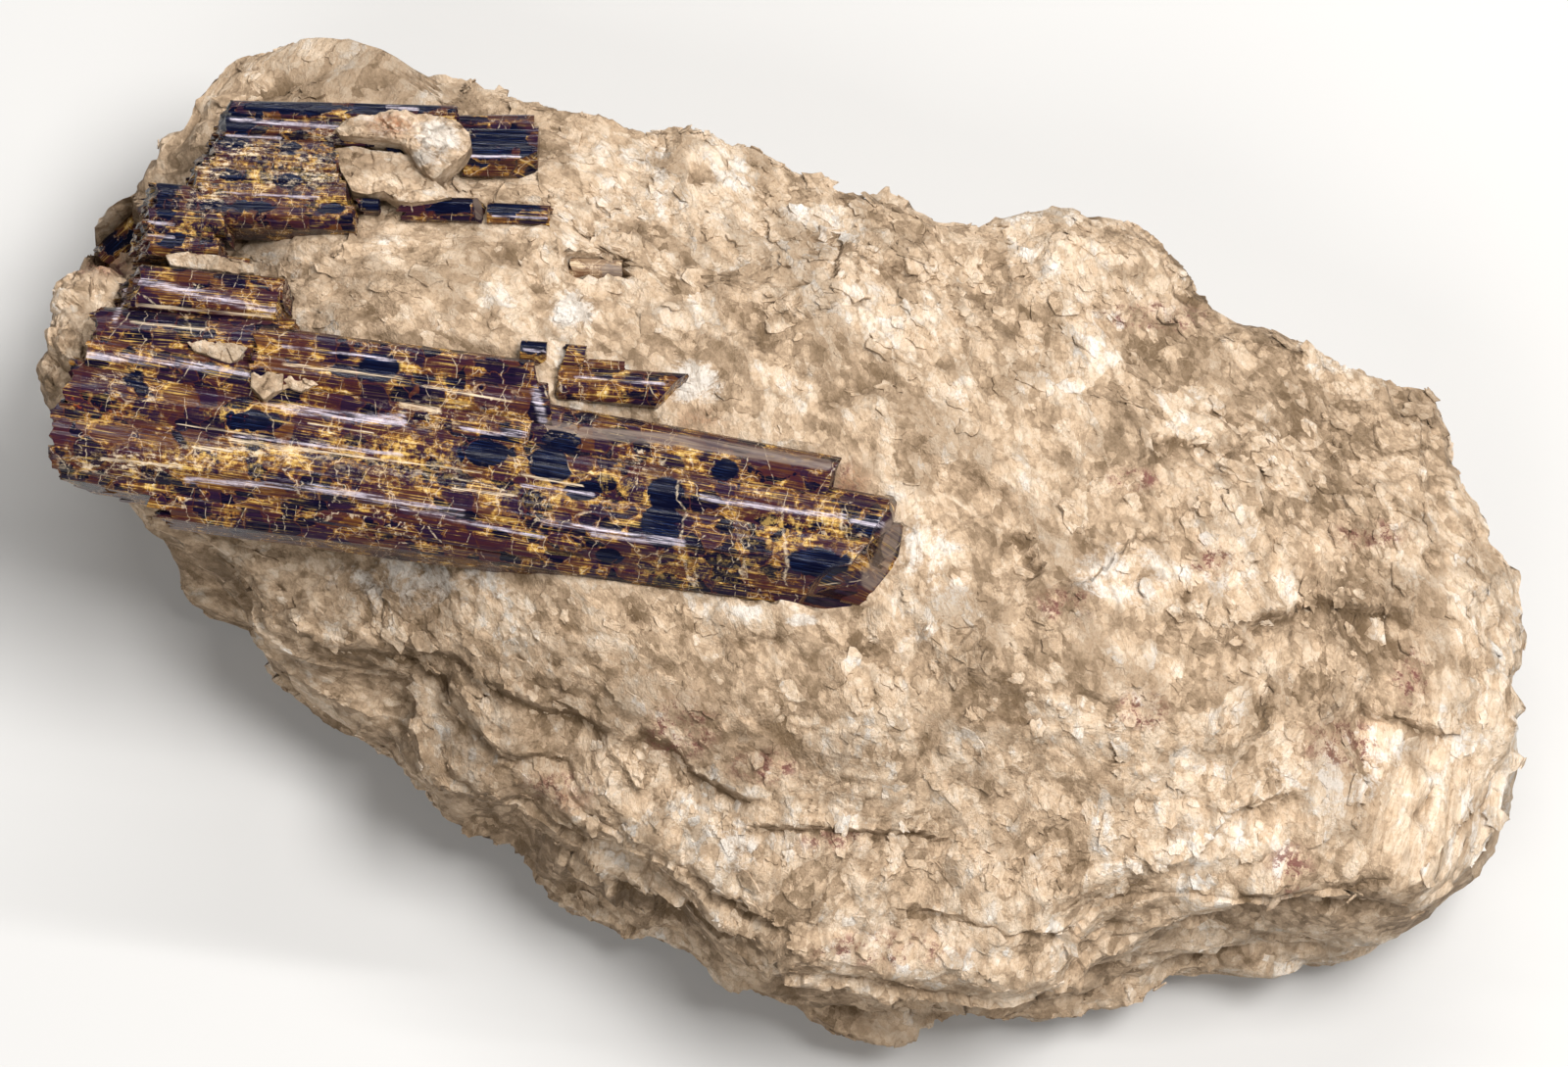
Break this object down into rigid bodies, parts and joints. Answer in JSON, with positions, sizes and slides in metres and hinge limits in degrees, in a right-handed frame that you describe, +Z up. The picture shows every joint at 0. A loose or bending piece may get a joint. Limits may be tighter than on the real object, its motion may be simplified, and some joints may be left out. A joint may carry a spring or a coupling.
{
  "type": "rutile specimen",
  "caption": "Hand specimen of dark red-brown to blue-black striated prismatic crystals lying across a pale, flaky stone matrix.",
  "frame": {"origin": "on the surface the stone rests on, under the middle of the specimen's bounding box", "axes": "+X along the stone's length towards its broad bright end, +Y away from the viewer, +Z up"},
  "size_m": [0.1173, 0.0624, 0.0371],
  "materials": {
    "stone": "dry, flaky pale tan stone with whitish, brown and purple-red patches",
    "crystal": "glassy, lengthwise striated, dark red-brown, amber and blue-black with a net of golden cracks",
    "pale_crystal": "dull greyish-brown crystal mostly buried in the stone"
  },
  "bodies": {
    "root": {"matrix": "stone", "big_crystal": "crystal", "fan_crystal": "crystal", "thin_blade": "crystal", "upper_right_crystal": "crystal", "left_needle": "crystal", "right_needle": "crystal", "side_crystal": "crystal", "stub_crystal": "crystal", "pale_crystal": "pale_crystal", "edge_crystal": "crystal", "small_crystal_upper": "crystal", "small_crystal_lower": "crystal"}
  },
  "joints": []
}
